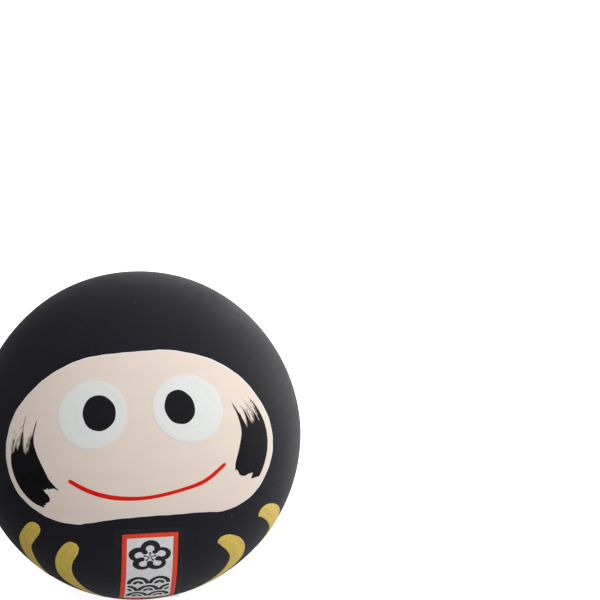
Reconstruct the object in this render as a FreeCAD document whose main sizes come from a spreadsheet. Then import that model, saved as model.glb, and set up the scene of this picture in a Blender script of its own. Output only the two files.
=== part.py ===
"""Black papier-mache daruma doll, 90 mm across.

Two pressed-pulp half shells are glued along a side seam under a paper strip. A clay plug in the
bottom makes the doll roll back upright, and a paper disc closes the foot. A chalk-and-paint coat
covers the ball. The face, eyes, smile, sideburns and robe strokes are thin paint layers on it,
and a clear sticker with a printed panel is on the front below the face.

Millimetres. +Z is up, the origin is under the middle of the foot, and the face looks along -Y.
Left and right are as seen by someone who looks at the face.
"""
import FreeCAD, Part
import math
import os

import Sketcher
from FreeCAD import Placement, Rotation, Vector

doc = FreeCAD.newDocument("daruma_doll")

# ---------------------------------------------------------------- driving dimensions

SIZES = [
    ("ball_radius", 45.0),
    ("coat_thick", 0.5),
    ("pulp_thick", 2.2),
    ("strip_thick", 0.3),
    ("strip_half_width", 6.0),
    ("foot_cut_radius", 14.0),
    ("plug_radius", 11.0),
    ("plug_height", 12.0),
    ("cover_radius", 13.4),
    ("cover_thick", 0.8),
    ("layer_thick", 0.12),
    ("face_half_width", 34.2),
    ("face_top", 24.1),
    ("face_bottom", 17.7),
    ("eye_radius", 9.0),
    ("pupil_radius", 4.2),
    ("smile_radius", 39.8),
    ("smile_half_angle", 29.5),
    ("smile_width", 1.0),
    ("film_width", 18.0),
    ("film_height", 36.5),
    ("print_width", 14.3),
    ("print_height", 33.0),
]

sheet = doc.addObject("Spreadsheet::Sheet", "sizes")
for row, (alias, value) in enumerate(SIZES, start=1):
    sheet.set(f"A{row}", alias)
    sheet.set(f"B{row}", str(value))
    sheet.setAlias(f"B{row}", alias)
doc.recompute()


def size(alias):
    """A driving dimension's value, for a shape whose outline is worked out by a formula."""
    return float(sheet.get(alias))


# The ball is cut flat at the foot, and the paper disc lies under the cut.
CUT_DEPTH = "sqrt(sizes.ball_radius ^ 2 - sizes.foot_cut_radius ^ 2)"
CENTRE_HEIGHT = f"{CUT_DEPTH} + sizes.cover_thick"
PULP_OUTSIDE = "sizes.ball_radius - sizes.coat_thick"
PULP_INSIDE = "sizes.ball_radius - sizes.coat_thick - sizes.pulp_thick"
STRIP_INSIDE = "sizes.ball_radius - sizes.coat_thick - sizes.strip_thick"

ball_radius = size("ball_radius")
pulp_outside = ball_radius - size("coat_thick")
pulp_inside = pulp_outside - size("pulp_thick")
strip_inside = pulp_outside - size("strip_thick")
strip_edge = size("strip_half_width")
cut_depth = math.sqrt(ball_radius**2 - size("foot_cut_radius") ** 2)
centre_height = cut_depth + size("cover_thick")

parts = []


# ---------------------------------------------------------------- helpers for the solid pieces


def new_body(name):
    """A body whose own origin is the ball's centre."""
    body = doc.addObject("PartDesign::Body", name)
    body.Label = name
    body.setExpression("Placement.Base.z", CENTRE_HEIGHT)
    parts.append(body)
    return body


def origin_feature(body, role):
    return next(f for f in body.Origin.OriginFeatures if f.Role == role)


def sketch_on(body, plane, name):
    sketch = body.newObject("Sketcher::SketchObject", name)
    sketch.AttachmentSupport = [(origin_feature(body, plane), "")]
    sketch.MapMode = "FlatFace"
    return sketch


def add_arc(sketch, radius, start, end, expression):
    """An arc round the ball's centre from one point to another, counter-clockwise."""
    start_angle = math.atan2(start[1], start[0])
    end_angle = math.atan2(end[1], end[0])
    circle = Part.Circle(Vector(0, 0, 0), Vector(0, 0, 1), radius)
    index = sketch.addGeometry(Part.ArcOfCircle(circle, start_angle, end_angle))
    sketch.addConstraint(Sketcher.Constraint("Coincident", index, 3, -1, 1))
    constraint = sketch.addConstraint(Sketcher.Constraint("Radius", index, radius))
    sketch.setExpression(f"Constraints[{constraint}]", expression)
    return index


def add_line(sketch, start, end):
    return sketch.addGeometry(Part.LineSegment(Vector(*start, 0), Vector(*end, 0)))


def add_circle(sketch, radius, expression):
    index = sketch.addGeometry(Part.Circle(Vector(0, 0, 0), Vector(0, 0, 1), radius))
    sketch.addConstraint(Sketcher.Constraint("Coincident", index, 3, -1, 1))
    constraint = sketch.addConstraint(Sketcher.Constraint("Radius", index, radius))
    sketch.setExpression(f"Constraints[{constraint}]", expression)
    return index


def revolve(body, sketch, role):
    feature = body.newObject("PartDesign::Revolution", f"{body.Name}_turned")
    feature.Profile = sketch
    feature.ReferenceAxis = (origin_feature(body, role), [""])
    feature.Angle = 360
    sketch.Visibility = False
    return feature


def pocket_below(body, name, radius, radius_expression, depth_expression):
    """Cuts a round hole straight down, from a plane below the ball's centre."""
    doc.recompute()
    before = body.Shape.Volume
    sketch = sketch_on(body, "XY_Plane", f"{name}_sketch")
    sketch.setExpression("AttachmentOffset.Base.z", depth_expression)
    add_circle(sketch, radius, radius_expression)
    feature = body.newObject("PartDesign::Pocket", name)
    feature.Profile = sketch
    feature.Type = "ThroughAll"
    doc.recompute()
    if not body.Shape.Volume < before:
        raise RuntimeError(f"{name} cut nothing")


def cut_foot_flat(body):
    """Takes away what lies below the flat cut at the foot."""
    pocket_below(
        body,
        f"{body.Name}_foot_cut",
        2 * size("foot_cut_radius"),
        "2 * sizes.foot_cut_radius",
        f"-{CUT_DEPTH}",
    )


def at_height(radius, along):
    """The point of a circle round the ball's centre that is this far along the axis."""
    return math.sqrt(radius**2 - along**2), along


# ---------------------------------------------------------------- pulp shells and seam strip


def half_shell(name, side):
    """Half of the pulp ball. Its edge is stepped in on the outside to take the seam strip."""
    body = new_body(name)
    sketch = sketch_on(body, "XY_Plane", f"{name}_profile")
    outer_pole = (0, side * pulp_outside)
    inner_pole = (0, side * pulp_inside)
    step_outside = at_height(pulp_outside, side * strip_edge)
    step_inside = at_height(strip_inside, side * strip_edge)
    rim_outside = (strip_inside, 0)
    rim_inside = (pulp_inside, 0)
    for radius, expression, points in (
        (pulp_outside, PULP_OUTSIDE, (step_outside, outer_pole)),
        (strip_inside, STRIP_INSIDE, (rim_outside, step_inside)),
        (pulp_inside, PULP_INSIDE, (rim_inside, inner_pole)),
    ):
        start, end = points if side > 0 else reversed(points)
        add_arc(sketch, radius, start, end, expression)
    add_line(sketch, step_outside, step_inside)
    add_line(sketch, rim_outside, rim_inside)
    add_line(sketch, outer_pole, inner_pole)
    revolve(body, sketch, "Y_Axis")
    cut_foot_flat(body)
    pocket_below(
        body,
        f"{name}_plug_hole",
        size("plug_radius"),
        "sizes.plug_radius",
        f"-{CUT_DEPTH} / 2",
    )


def seam_strip():
    """Paper strip that covers the glued seam, flush with the pulp, open across the foot."""
    body = new_body("seam_strip")
    sketch = sketch_on(body, "XY_Plane", "seam_strip_profile")
    outer_low = at_height(pulp_outside, -strip_edge)
    outer_high = at_height(pulp_outside, strip_edge)
    inner_low = at_height(strip_inside, -strip_edge)
    inner_high = at_height(strip_inside, strip_edge)
    add_arc(sketch, pulp_outside, outer_low, outer_high, PULP_OUTSIDE)
    add_arc(sketch, strip_inside, inner_low, inner_high, STRIP_INSIDE)
    add_line(sketch, outer_low, inner_low)
    add_line(sketch, outer_high, inner_high)
    revolve(body, sketch, "Y_Axis")
    cut_foot_flat(body)


# ---------------------------------------------------------------- coat, clay plug and foot disc


def body_coat():
    """Chalk ground and black paint over the whole ball, down to the flat cut."""
    body = new_body("body_coat")
    sketch = sketch_on(body, "XZ_Plane", "body_coat_profile")
    outer_low = at_height(ball_radius, -cut_depth)
    inner_low = at_height(pulp_outside, -cut_depth)
    outer_pole = (0, ball_radius)
    inner_pole = (0, pulp_outside)
    add_arc(sketch, ball_radius, outer_low, outer_pole, "sizes.ball_radius")
    add_arc(sketch, pulp_outside, inner_low, inner_pole, PULP_OUTSIDE)
    add_line(sketch, outer_low, inner_low)
    add_line(sketch, outer_pole, inner_pole)
    revolve(body, sketch, "Z_Axis")


def clay_weight():
    """Clay plug that fills the bottom of the ball and the hole in the pulp."""
    body = new_body("clay_weight")
    sketch = sketch_on(body, "XZ_Plane", "clay_weight_profile")
    top = size("plug_height") - cut_depth
    plug_radius = size("plug_radius")
    mouth = -math.sqrt(pulp_inside**2 - plug_radius**2)
    top_edge = at_height(pulp_inside, top)
    add_arc(sketch, pulp_inside, (plug_radius, mouth), top_edge, PULP_INSIDE)
    add_line(sketch, top_edge, (0, top))
    add_line(sketch, (0, top), (0, -cut_depth))
    add_line(sketch, (0, -cut_depth), (plug_radius, -cut_depth))
    add_line(sketch, (plug_radius, -cut_depth), (plug_radius, mouth))
    revolve(body, sketch, "Z_Axis")


def foot_disc():
    """Paper disc glued under the clay plug. The doll stands on it."""
    body = new_body("foot_disc")
    body.setExpression("Placement.Base.z", "0")
    sketch = sketch_on(body, "XY_Plane", "foot_disc_outline")
    add_circle(sketch, size("cover_radius"), "sizes.cover_radius")
    pad = body.newObject("PartDesign::Pad", "foot_disc_pad")
    pad.Profile = sketch
    pad.setExpression("Length", "sizes.cover_thick")


# ---------------------------------------------------------------- paint layers and sticker


def skin_part(name, radius_expression):
    sphere = doc.addObject("Part::Sphere", name)
    sphere.setExpression("Radius", radius_expression)
    sphere.setExpression("Placement.Base.z", CENTRE_HEIGHT)
    return sphere


def skin(name, level):
    """One layer's thickness of space round the ball. Level 0 lies on the coat, 1 on level 0."""
    shell = doc.addObject("Part::Cut", name)
    shell.Base = skin_part(f"{name}_outside", f"sizes.ball_radius + {level + 1} * sizes.layer_thick")
    shell.Tool = skin_part(f"{name}_inside", f"sizes.ball_radius + {level} * sizes.layer_thick")
    return shell


SKINS = [skin(f"skin_{level}", level) for level in range(3)]


def facing(azimuth, latitude, spin=0.0):
    """Turns a sketch plane to face a place on the ball. Azimuth 0 is the front, + to the right."""
    a = math.radians(azimuth)
    b = math.radians(latitude)
    outward = Vector(math.sin(a) * math.cos(b), -math.cos(a) * math.cos(b), math.sin(b))
    right = Vector(math.cos(a), math.sin(a), 0)
    turn = Rotation(right, outward.cross(right), outward, "ZXY")
    return turn.multiply(Rotation(Vector(0, 0, 1), spin))


def paint(name, draw, place, level):
    """A thin solid on the ball: the outline that draw makes, pressed on to one skin."""
    sketch = doc.addObject("Sketcher::SketchObject", f"{name}_outline")
    sketch.Placement = Placement(Vector(0, 0, centre_height), facing(*place))
    sketch.setExpression("Placement.Base.z", CENTRE_HEIGHT)
    draw(sketch)
    prism = doc.addObject("Part::Extrusion", f"{name}_prism")
    prism.Base = sketch
    prism.DirMode = "Normal"
    prism.Solid = True
    prism.setExpression("LengthFwd", "sizes.ball_radius + 10 * sizes.layer_thick")
    layer = doc.addObject("Part::Common", name)
    layer.Base = prism
    layer.Tool = SKINS[level]
    layer.Label = name
    parts.append(layer)


def draw_smooth(points):
    """A closed smooth outline through the points."""

    def draw(sketch):
        curve = Part.BSplineCurve()
        curve.interpolate([Vector(x, y, 0) for x, y in points], PeriodicFlag=True)
        sketch.addGeometry(curve)

    return draw


def draw_round(alias):
    def draw(sketch):
        add_circle(sketch, size(alias), f"sizes.{alias}")

    return draw


def draw_rectangle(width_alias, height_alias):
    def draw(sketch):
        half_width = size(width_alias) / 2
        half_height = size(height_alias) / 2
        corners = [
            (-half_width, -half_height),
            (half_width, -half_height),
            (half_width, half_height),
            (-half_width, half_height),
        ]
        sides = [add_line(sketch, a, b) for a, b in zip(corners, corners[1:] + corners[:1])]
        for first, second in zip(sides, sides[1:] + sides[:1]):
            sketch.addConstraint(Sketcher.Constraint("Coincident", first, 2, second, 1))
        for side in sides[0::2]:
            sketch.addConstraint(Sketcher.Constraint("Horizontal", side))
        for side in sides[1::2]:
            sketch.addConstraint(Sketcher.Constraint("Vertical", side))
        sketch.addConstraint(Sketcher.Constraint("Symmetric", 0, 1, 2, 1, -1, 1))
        across = sketch.addConstraint(
            Sketcher.Constraint("DistanceX", 0, 1, 0, 2, 2 * half_width)
        )
        sketch.setExpression(f"Constraints[{across}]", f"sizes.{width_alias}")
        upwards = sketch.addConstraint(
            Sketcher.Constraint("DistanceY", 1, 1, 1, 2, 2 * half_height)
        )
        sketch.setExpression(f"Constraints[{upwards}]", f"sizes.{height_alias}")

    return draw


FACE_WIDEST = -3.0
FACE_TOP_FLAT = 4.0
FACE_BOTTOM_FLAT = 18.0


def quarter_ellipse(centre, across, upwards, quadrant):
    """A quarter of an ellipse. Quadrant 0 is the upper right one, and they go round from there."""
    middle = Vector(centre[0], centre[1], 0)
    start = quadrant * math.pi / 2
    if across >= upwards:
        ellipse = Part.Ellipse(
            middle + Vector(across, 0, 0), middle + Vector(0, upwards, 0), middle
        )
    else:
        ellipse = Part.Ellipse(
            middle + Vector(0, upwards, 0), middle - Vector(across, 0, 0), middle
        )
        start -= math.pi / 2
    return Part.ArcOfEllipse(ellipse, start, start + math.pi / 2)


def draw_face(sketch):
    """The opening of the hood: a low dome over a flatter, square-shouldered chin."""
    half_width = size("face_half_width")
    top = size("face_top")
    bottom = size("face_bottom")
    for side, quadrant in ((1, 0), (-1, 1)):
        centre = (side * FACE_TOP_FLAT, FACE_WIDEST)
        arc = quarter_ellipse(centre, half_width - FACE_TOP_FLAT, top, quadrant)
        sketch.addGeometry(arc)
    for side, quadrant in ((-1, 2), (1, 3)):
        centre = (side * FACE_BOTTOM_FLAT, FACE_WIDEST)
        arc = quarter_ellipse(centre, half_width - FACE_BOTTOM_FLAT, bottom, quadrant)
        sketch.addGeometry(arc)
    high = FACE_WIDEST + top
    low = FACE_WIDEST - bottom
    add_line(sketch, (-FACE_TOP_FLAT, high), (FACE_TOP_FLAT, high))
    add_line(sketch, (-FACE_BOTTOM_FLAT, low), (FACE_BOTTOM_FLAT, low))


def draw_smile(sketch):
    """A round-ended brush line, curved up at both ends."""
    half_width = size("smile_width") / 2
    radius = size("smile_radius")
    spread = math.radians(size("smile_half_angle"))
    lowest = -math.pi / 2
    centre = Vector(0.9, radius - 2.4, 0)
    normal = Vector(0, 0, 1)
    for edge in (radius - half_width, radius + half_width):
        circle = Part.Circle(centre, normal, edge)
        sketch.addGeometry(Part.ArcOfCircle(circle, lowest - spread, lowest + spread))
    for side in (-1, 1):
        angle = lowest + side * spread
        end = centre + Vector(math.cos(angle), math.sin(angle), 0) * radius
        start = angle if side > 0 else angle - math.pi
        cap = Part.Circle(end, normal, half_width)
        sketch.addGeometry(Part.ArcOfCircle(cap, start, start + math.pi))


def stroke_outline(stations):
    """The edge of a brush stroke, from its centre line and the half width at each station."""
    rising = []
    falling = []
    for index, (x, y, half_width) in enumerate(stations):
        before = stations[max(index - 1, 0)]
        after = stations[min(index + 1, len(stations) - 1)]
        along = Vector(after[0] - before[0], after[1] - before[1], 0).normalize()
        across = Vector(-along.y, along.x, 0) * half_width
        rising.append((x + across.x, y + across.y))
        falling.append((x - across.x, y - across.y))
    return rising + falling[::-1]


# Comma strokes of the robe, from the hooked head to the tapered tail: x, y, half width.
OUTER_STROKE = [
    (-5.0, 8.2, 1.4),
    (-2.0, 5.8, 2.1),
    (1.4, 1.6, 2.4),
    (4.0, -3.6, 2.5),
    (5.4, -9.0, 2.1),
    (5.2, -14.0, 1.4),
    (3.8, -18.0, 0.5),
]
INNER_STROKE = [
    (-4.0, 11.6, 1.2),
    (-1.2, 8.6, 1.9),
    (2.0, 4.0, 2.3),
    (3.8, -1.0, 2.5),
    (4.4, -6.4, 2.2),
    (3.6, -11.6, 1.5),
    (1.4, -16.0, 0.5),
]


def mirrored(stations):
    return [(-x, y, half_width) for x, y, half_width in stations]


# Sideburns, each one broad stroke of a flat brush, from the hairline down: x, y, half width.
LEFT_SIDEBURN = [
    (2.0, 9.0, 2.5),
    (1.5, 4.0, 3.5),
    (3.0, -1.5, 4.0),
    (6.5, -5.5, 3.5),
    (11.0, -7.0, 1.5),
]
RIGHT_SIDEBURN = [
    (-3.0, 11.0, 2.0),
    (-1.0, 6.0, 4.0),
    (-2.0, 0.0, 5.0),
    (-4.0, -4.0, 4.5),
    (-6.5, -6.5, 2.5),
]

half_shell("front_shell", -1)
half_shell("back_shell", 1)
seam_strip()
body_coat()
clay_weight()
foot_disc()

FACE_PLACE = (0.0, 21.5)
paint("face_paint", draw_face, FACE_PLACE, 0)
for side_name, side in (("left", -1), ("right", 1)):
    paint(f"eye_white_{side_name}", draw_round("eye_radius"), (side * 17.4, 27.9), 1)
    paint(f"pupil_{side_name}", draw_round("pupil_radius"), (side * 14.7, 28.8), 2)
paint("smile_line", draw_smile, (0.0, 4.0), 1)
paint("sideburn_left", draw_smooth(stroke_outline(LEFT_SIDEBURN)), (-46.0, 10.0), 1)
paint("sideburn_right", draw_smooth(stroke_outline(RIGHT_SIDEBURN)), (43.0, 10.0), 1)
for name, stations, place in (
    ("robe_stroke_left_outer", mirrored(OUTER_STROKE), (-46.0, -22.0)),
    ("robe_stroke_left_inner", mirrored(INNER_STROKE), (-31.0, -32.0)),
    ("robe_stroke_right_inner", INNER_STROKE, (31.0, -33.5)),
    ("robe_stroke_right_outer", OUTER_STROKE, (49.0, -24.5)),
):
    paint(name, draw_smooth(stroke_outline(stations)), place, 0)
STICKER_PLACE = (-0.6, -33.8, -3.5)
paint("sticker_film", draw_rectangle("film_width", "film_height"), STICKER_PLACE, 0)
paint("sticker_print", draw_rectangle("print_width", "print_height"), STICKER_PLACE, 1)

doc.recompute()

# ---------------------------------------------------------------- checks and files

for item in doc.Objects:
    if "Invalid" in item.State or "Error" in item.State:
        raise RuntimeError(f"{item.Name} failed: {item.State}")
for part in parts:
    shape = part.Shape
    if shape.isNull() or not shape.isValid() or len(shape.Solids) != 1:
        raise RuntimeError(f"{part.Label} isn't one valid solid")
    print(f"{part.Label:26s} {shape.Volume:10.2f} mm3")

os.makedirs("parts", exist_ok=True)
for part in parts:
    part.Shape.exportStep(f"parts/{part.Label}.step")
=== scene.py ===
"""The looks of a black papier-mache daruma doll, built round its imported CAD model.

Blender works in metres in the CAD frame: +Z up, the face looks along -Y, and the origin is under
the middle of the foot. Shapes painted on the ball are drawn in millimetres on a plane that faces
one place on the ball, and are then pressed on to its skin. Left and right are as seen by someone
who looks at the face.
"""

import math

import bmesh
import bpy
import numpy as np
from mathutils import Matrix, Vector


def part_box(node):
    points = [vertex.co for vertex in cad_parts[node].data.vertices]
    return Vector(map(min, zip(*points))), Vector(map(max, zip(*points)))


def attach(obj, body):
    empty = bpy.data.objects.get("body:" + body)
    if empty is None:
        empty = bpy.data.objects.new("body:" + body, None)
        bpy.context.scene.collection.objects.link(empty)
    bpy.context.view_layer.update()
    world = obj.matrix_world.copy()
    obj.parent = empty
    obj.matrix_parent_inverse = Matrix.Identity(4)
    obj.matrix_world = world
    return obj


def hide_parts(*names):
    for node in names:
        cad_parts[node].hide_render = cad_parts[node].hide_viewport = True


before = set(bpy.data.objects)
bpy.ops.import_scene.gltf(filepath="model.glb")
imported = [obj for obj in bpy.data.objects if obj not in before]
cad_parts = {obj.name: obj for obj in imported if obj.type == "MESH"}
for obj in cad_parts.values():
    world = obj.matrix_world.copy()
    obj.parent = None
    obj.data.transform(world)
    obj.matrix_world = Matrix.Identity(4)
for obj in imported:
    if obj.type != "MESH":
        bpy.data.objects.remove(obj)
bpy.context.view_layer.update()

MM = 0.001
ROOT = "root"
SHARP_ANGLE = math.radians(50)
SAME_PLACE = 1e-7

coat_low, coat_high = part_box("body_coat")
shell_low, shell_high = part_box("front_shell")
strip_low, strip_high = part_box("seam_strip")
foot_low, foot_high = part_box("foot_disc")
BALL_RADIUS = (coat_high.y - coat_low.y) / 2
PULP_RADIUS = (shell_high.x - shell_low.x) / 2
BALL_CENTRE = np.array([0.0, 0.0, coat_high.z - BALL_RADIUS])
CUT_HEIGHT = coat_low.z
STRIP_HALF_WIDTH = (strip_high.y - strip_low.y) / 2
FOOT_RADIUS = (foot_high.x - foot_low.x) / 2


# ---------------------------------------------------------------- curves


def smooth_line(points, count, closed=False):
    """count points along a smooth curve through the given ones, evenly spaced along its length."""
    points = np.array(points, float)
    if closed:
        points = np.concatenate([points[-2:], points, points[:3]])
    else:
        points = np.concatenate([2 * points[:1] - points[1:2], points, 2 * points[-1:] - points[-2:-1]])
    spans = []
    steps = 24
    t = np.linspace(0, 1, steps, endpoint=False)[:, None]
    for p0, p1, p2, p3 in zip(points, points[1:], points[2:], points[3:]):
        spans.append(
            0.5 * (2 * p1 + (p2 - p0) * t + (2 * p0 - 5 * p1 + 4 * p2 - p3) * t**2
                   + (3 * p1 - p0 - 3 * p2 + p3) * t**3)
        )
    if closed:
        spans = spans[1:-1]
    else:
        spans.append(points[-2:-1])
    dense = np.concatenate(spans + [spans[0][:1]] if closed else spans)
    run = np.r_[0, np.cumsum(np.hypot(*np.diff(dense[:, :2], axis=0).T))]
    wanted = np.linspace(0, run[-1], count, endpoint=not closed)
    return np.stack([np.interp(wanted, run, dense[:, k]) for k in range(dense.shape[1])], axis=-1)


# ---------------------------------------------------------------- the skin of the ball

PROFILE = (
    # latitude in degrees, and how far the hand-pressed ball stands off a true ball there, in millimetres
    (-90, 0.0), (-60, 0.0), (-40, -0.15), (0, -0.2), (30, -0.4), (65, 0.15), (90, 0.0),
)
LUMP = 0.04 * MM            # soft unevenness of the pulp under the paint
STRIP_RELIEF = 0.035 * MM   # the pasted seam strip still shows through the coat this much
STRIP_FADE = 0.9 * MM

LUMP_WAVES = (
    # waves along x, y and z round the ball, and their start
    (3.1, 4.3, 2.7, 0.4),
    (5.9, -4.8, 6.3, 1.9),
    (-8.7, 7.1, 5.2, 3.3),
    (11.3, 9.4, -10.8, 5.0),
)
SKIN_LINE = smooth_line(PROFILE, 241)


def smooth_step(low, high, value):
    share = np.clip((value - low) / (high - low), 0.0, 1.0)
    return share * share * (3 - 2 * share)


def skin_radius(direction):
    """How far the painted surface is from the ball's centre, along unit directions."""
    x, y, z = np.moveaxis(direction, -1, 0)
    latitude = np.degrees(np.arcsin(np.clip(z, -1, 1)))
    rise = np.interp(latitude, SKIN_LINE[:, 0], SKIN_LINE[:, 1]) * MM
    lumps = sum(np.sin(a * x + b * y + c * z + start) for a, b, c, start in LUMP_WAVES)
    lump_dip = LUMP * (0.5 + 0.5 * lumps / len(LUMP_WAVES))
    off_strip = smooth_step(0, STRIP_FADE, np.abs(y) * BALL_RADIUS - STRIP_HALF_WIDTH)
    return BALL_RADIUS + rise - lump_dip - STRIP_RELIEF * off_strip


class Place:
    """A plane that faces a place on the ball. Azimuth 0 is the front, and + is to the right."""

    def __init__(self, azimuth, latitude, spin=0.0):
        a = math.radians(azimuth)
        b = math.radians(latitude)
        c = math.radians(spin)
        self.outward = np.array(
            [math.sin(a) * math.cos(b), -math.cos(a) * math.cos(b), math.sin(b)]
        )
        level = np.array([math.cos(a), math.sin(a), 0.0])
        upright = np.cross(self.outward, level)
        self.right = level * math.cos(c) + upright * math.sin(c)
        self.up = upright * math.cos(c) - level * math.sin(c)

    def directions(self, xy):
        """Unit directions from the ball's centre to points drawn on the plane, in millimetres."""
        x = xy[..., 0] * MM / BALL_RADIUS
        y = xy[..., 1] * MM / BALL_RADIUS
        z = np.sqrt(1 - x * x - y * y)
        return x[..., None] * self.right + y[..., None] * self.up + z[..., None] * self.outward


# ---------------------------------------------------------------- mesh building


def new_piece(name, mesh, slot, material, *nodes):
    """Puts a mesh in the scene as a piece that rides on the doll and stands for CAD nodes."""
    piece = bpy.data.objects.new(name, mesh)
    bpy.context.scene.collection.objects.link(piece)
    piece.data.materials.append(material)
    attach(piece, ROOT)
    if nodes:
        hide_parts(*nodes)
    return piece


def tidy_mesh(mesh):
    """Merges doubled points, turns all faces outwards and marks the sharp edges."""
    work = bmesh.new()
    work.from_mesh(mesh)
    bmesh.ops.remove_doubles(work, verts=work.verts, dist=SAME_PLACE)
    bmesh.ops.dissolve_degenerate(work, edges=work.edges, dist=SAME_PLACE)
    bmesh.ops.recalc_face_normals(work, faces=work.faces)
    for face in work.faces:
        face.smooth = True
    for edge in work.edges:
        edge.smooth = not (len(edge.link_faces) == 2 and edge.calc_face_angle() > SHARP_ANGLE)
    work.to_mesh(mesh)
    work.free()
    return mesh


def sheet_solid(name, outer, inner, brush=None, wrap=False):
    """A closed solid between two grids of points. The grid's columns close on themselves if wrap is set.

    brush gives each grid point its place in the brush stroke, in millimetres, for the materials. A
    patch's third number is its distance in from the edge.
    """
    rows, columns, _ = outer.shape
    index = np.arange(rows * columns).reshape(rows, columns)
    below = index + rows * columns
    across = np.c_[index, index[:, :1]] if wrap else index
    across_below = np.c_[below, below[:, :1]] if wrap else below

    def quads(a, b, c, d):
        return np.stack([a, b, c, d], axis=-1).reshape(-1, 4)

    faces = [
        quads(across[:-1, :-1], across[:-1, 1:], across[1:, 1:], across[1:, :-1]),
        quads(
            across_below[:-1, :-1], across_below[1:, :-1],
            across_below[1:, 1:], across_below[:-1, 1:],
        ),
    ]
    for row in (0, -1):
        faces.append(
            quads(
                across[row, :-1], across_below[row, :-1],
                across_below[row, 1:], across[row, 1:],
            )
        )
    if not wrap:
        for column in (0, -1):
            faces.append(
                quads(
                    index[:-1, column], index[1:, column],
                    below[1:, column], below[:-1, column],
                )
            )
    points = np.concatenate([outer.reshape(-1, 3), inner.reshape(-1, 3)])
    mesh = bpy.data.meshes.new(name)
    mesh.from_pydata(points.tolist(), [], np.concatenate(faces).tolist())
    if brush is not None:
        both = np.concatenate([brush.reshape(-1, 3)] * 2).astype(np.float32)
        mesh.attributes.new("brush", "FLOAT_VECTOR", "POINT").data.foreach_set("vector", both.ravel())
    return tidy_mesh(mesh)


SINK = 0.02 * MM  # a layer's underside goes this far into what it lies on, so no gap shows


def film(name, place, xy, thickness, lift=0.0, brush=None, wrap=False):
    """A layer of paint or foil on the skin: grid points on a place's plane, and a thickness at each."""
    direction = place.directions(xy)
    base = skin_radius(direction) + lift
    outer = BALL_CENTRE + direction * (base + thickness)[..., None]
    inner = BALL_CENTRE + direction * (base - SINK)[..., None]
    return sheet_solid(name, outer, inner, brush, wrap)


def join_meshes(name, meshes):
    """One mesh from several."""
    work = bmesh.new()
    for mesh in meshes:
        work.from_mesh(mesh)
        bpy.data.meshes.remove(mesh)
    joined = bpy.data.meshes.new(name)
    work.to_mesh(joined)
    work.free()
    return joined


# ---------------------------------------------------------------- outlines


OUTER_RINGS = (0.96, 0.985, 0.995, 1.0)  # shares of the way out of a patch's last rings of points


def disc_grid(outline, rings, centre):
    """Rings of points from a centre out to a closed outline. The last rings are close together."""
    centre = np.array(centre)
    share = np.concatenate([np.linspace(0, OUTER_RINGS[0], rings - 3), OUTER_RINGS[1:]])
    return centre + share[:, None, None] * (outline[None] - centre), share


def edge_round(distance, width):
    """0 to 1 across a rounded edge: how full the paint is at a distance inside its outline."""
    share = np.clip(distance / width, 0.0, 1.0)
    return np.sqrt(1 - (1 - share) ** 2)


def wander(turn, waves):
    """How far a hand strays from a smooth round. Each wave is its size, its count and its start."""
    return sum(size * np.sin(count * turn + start) for size, count, start in waves)


# ---------------------------------------------------------------- materials


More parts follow.
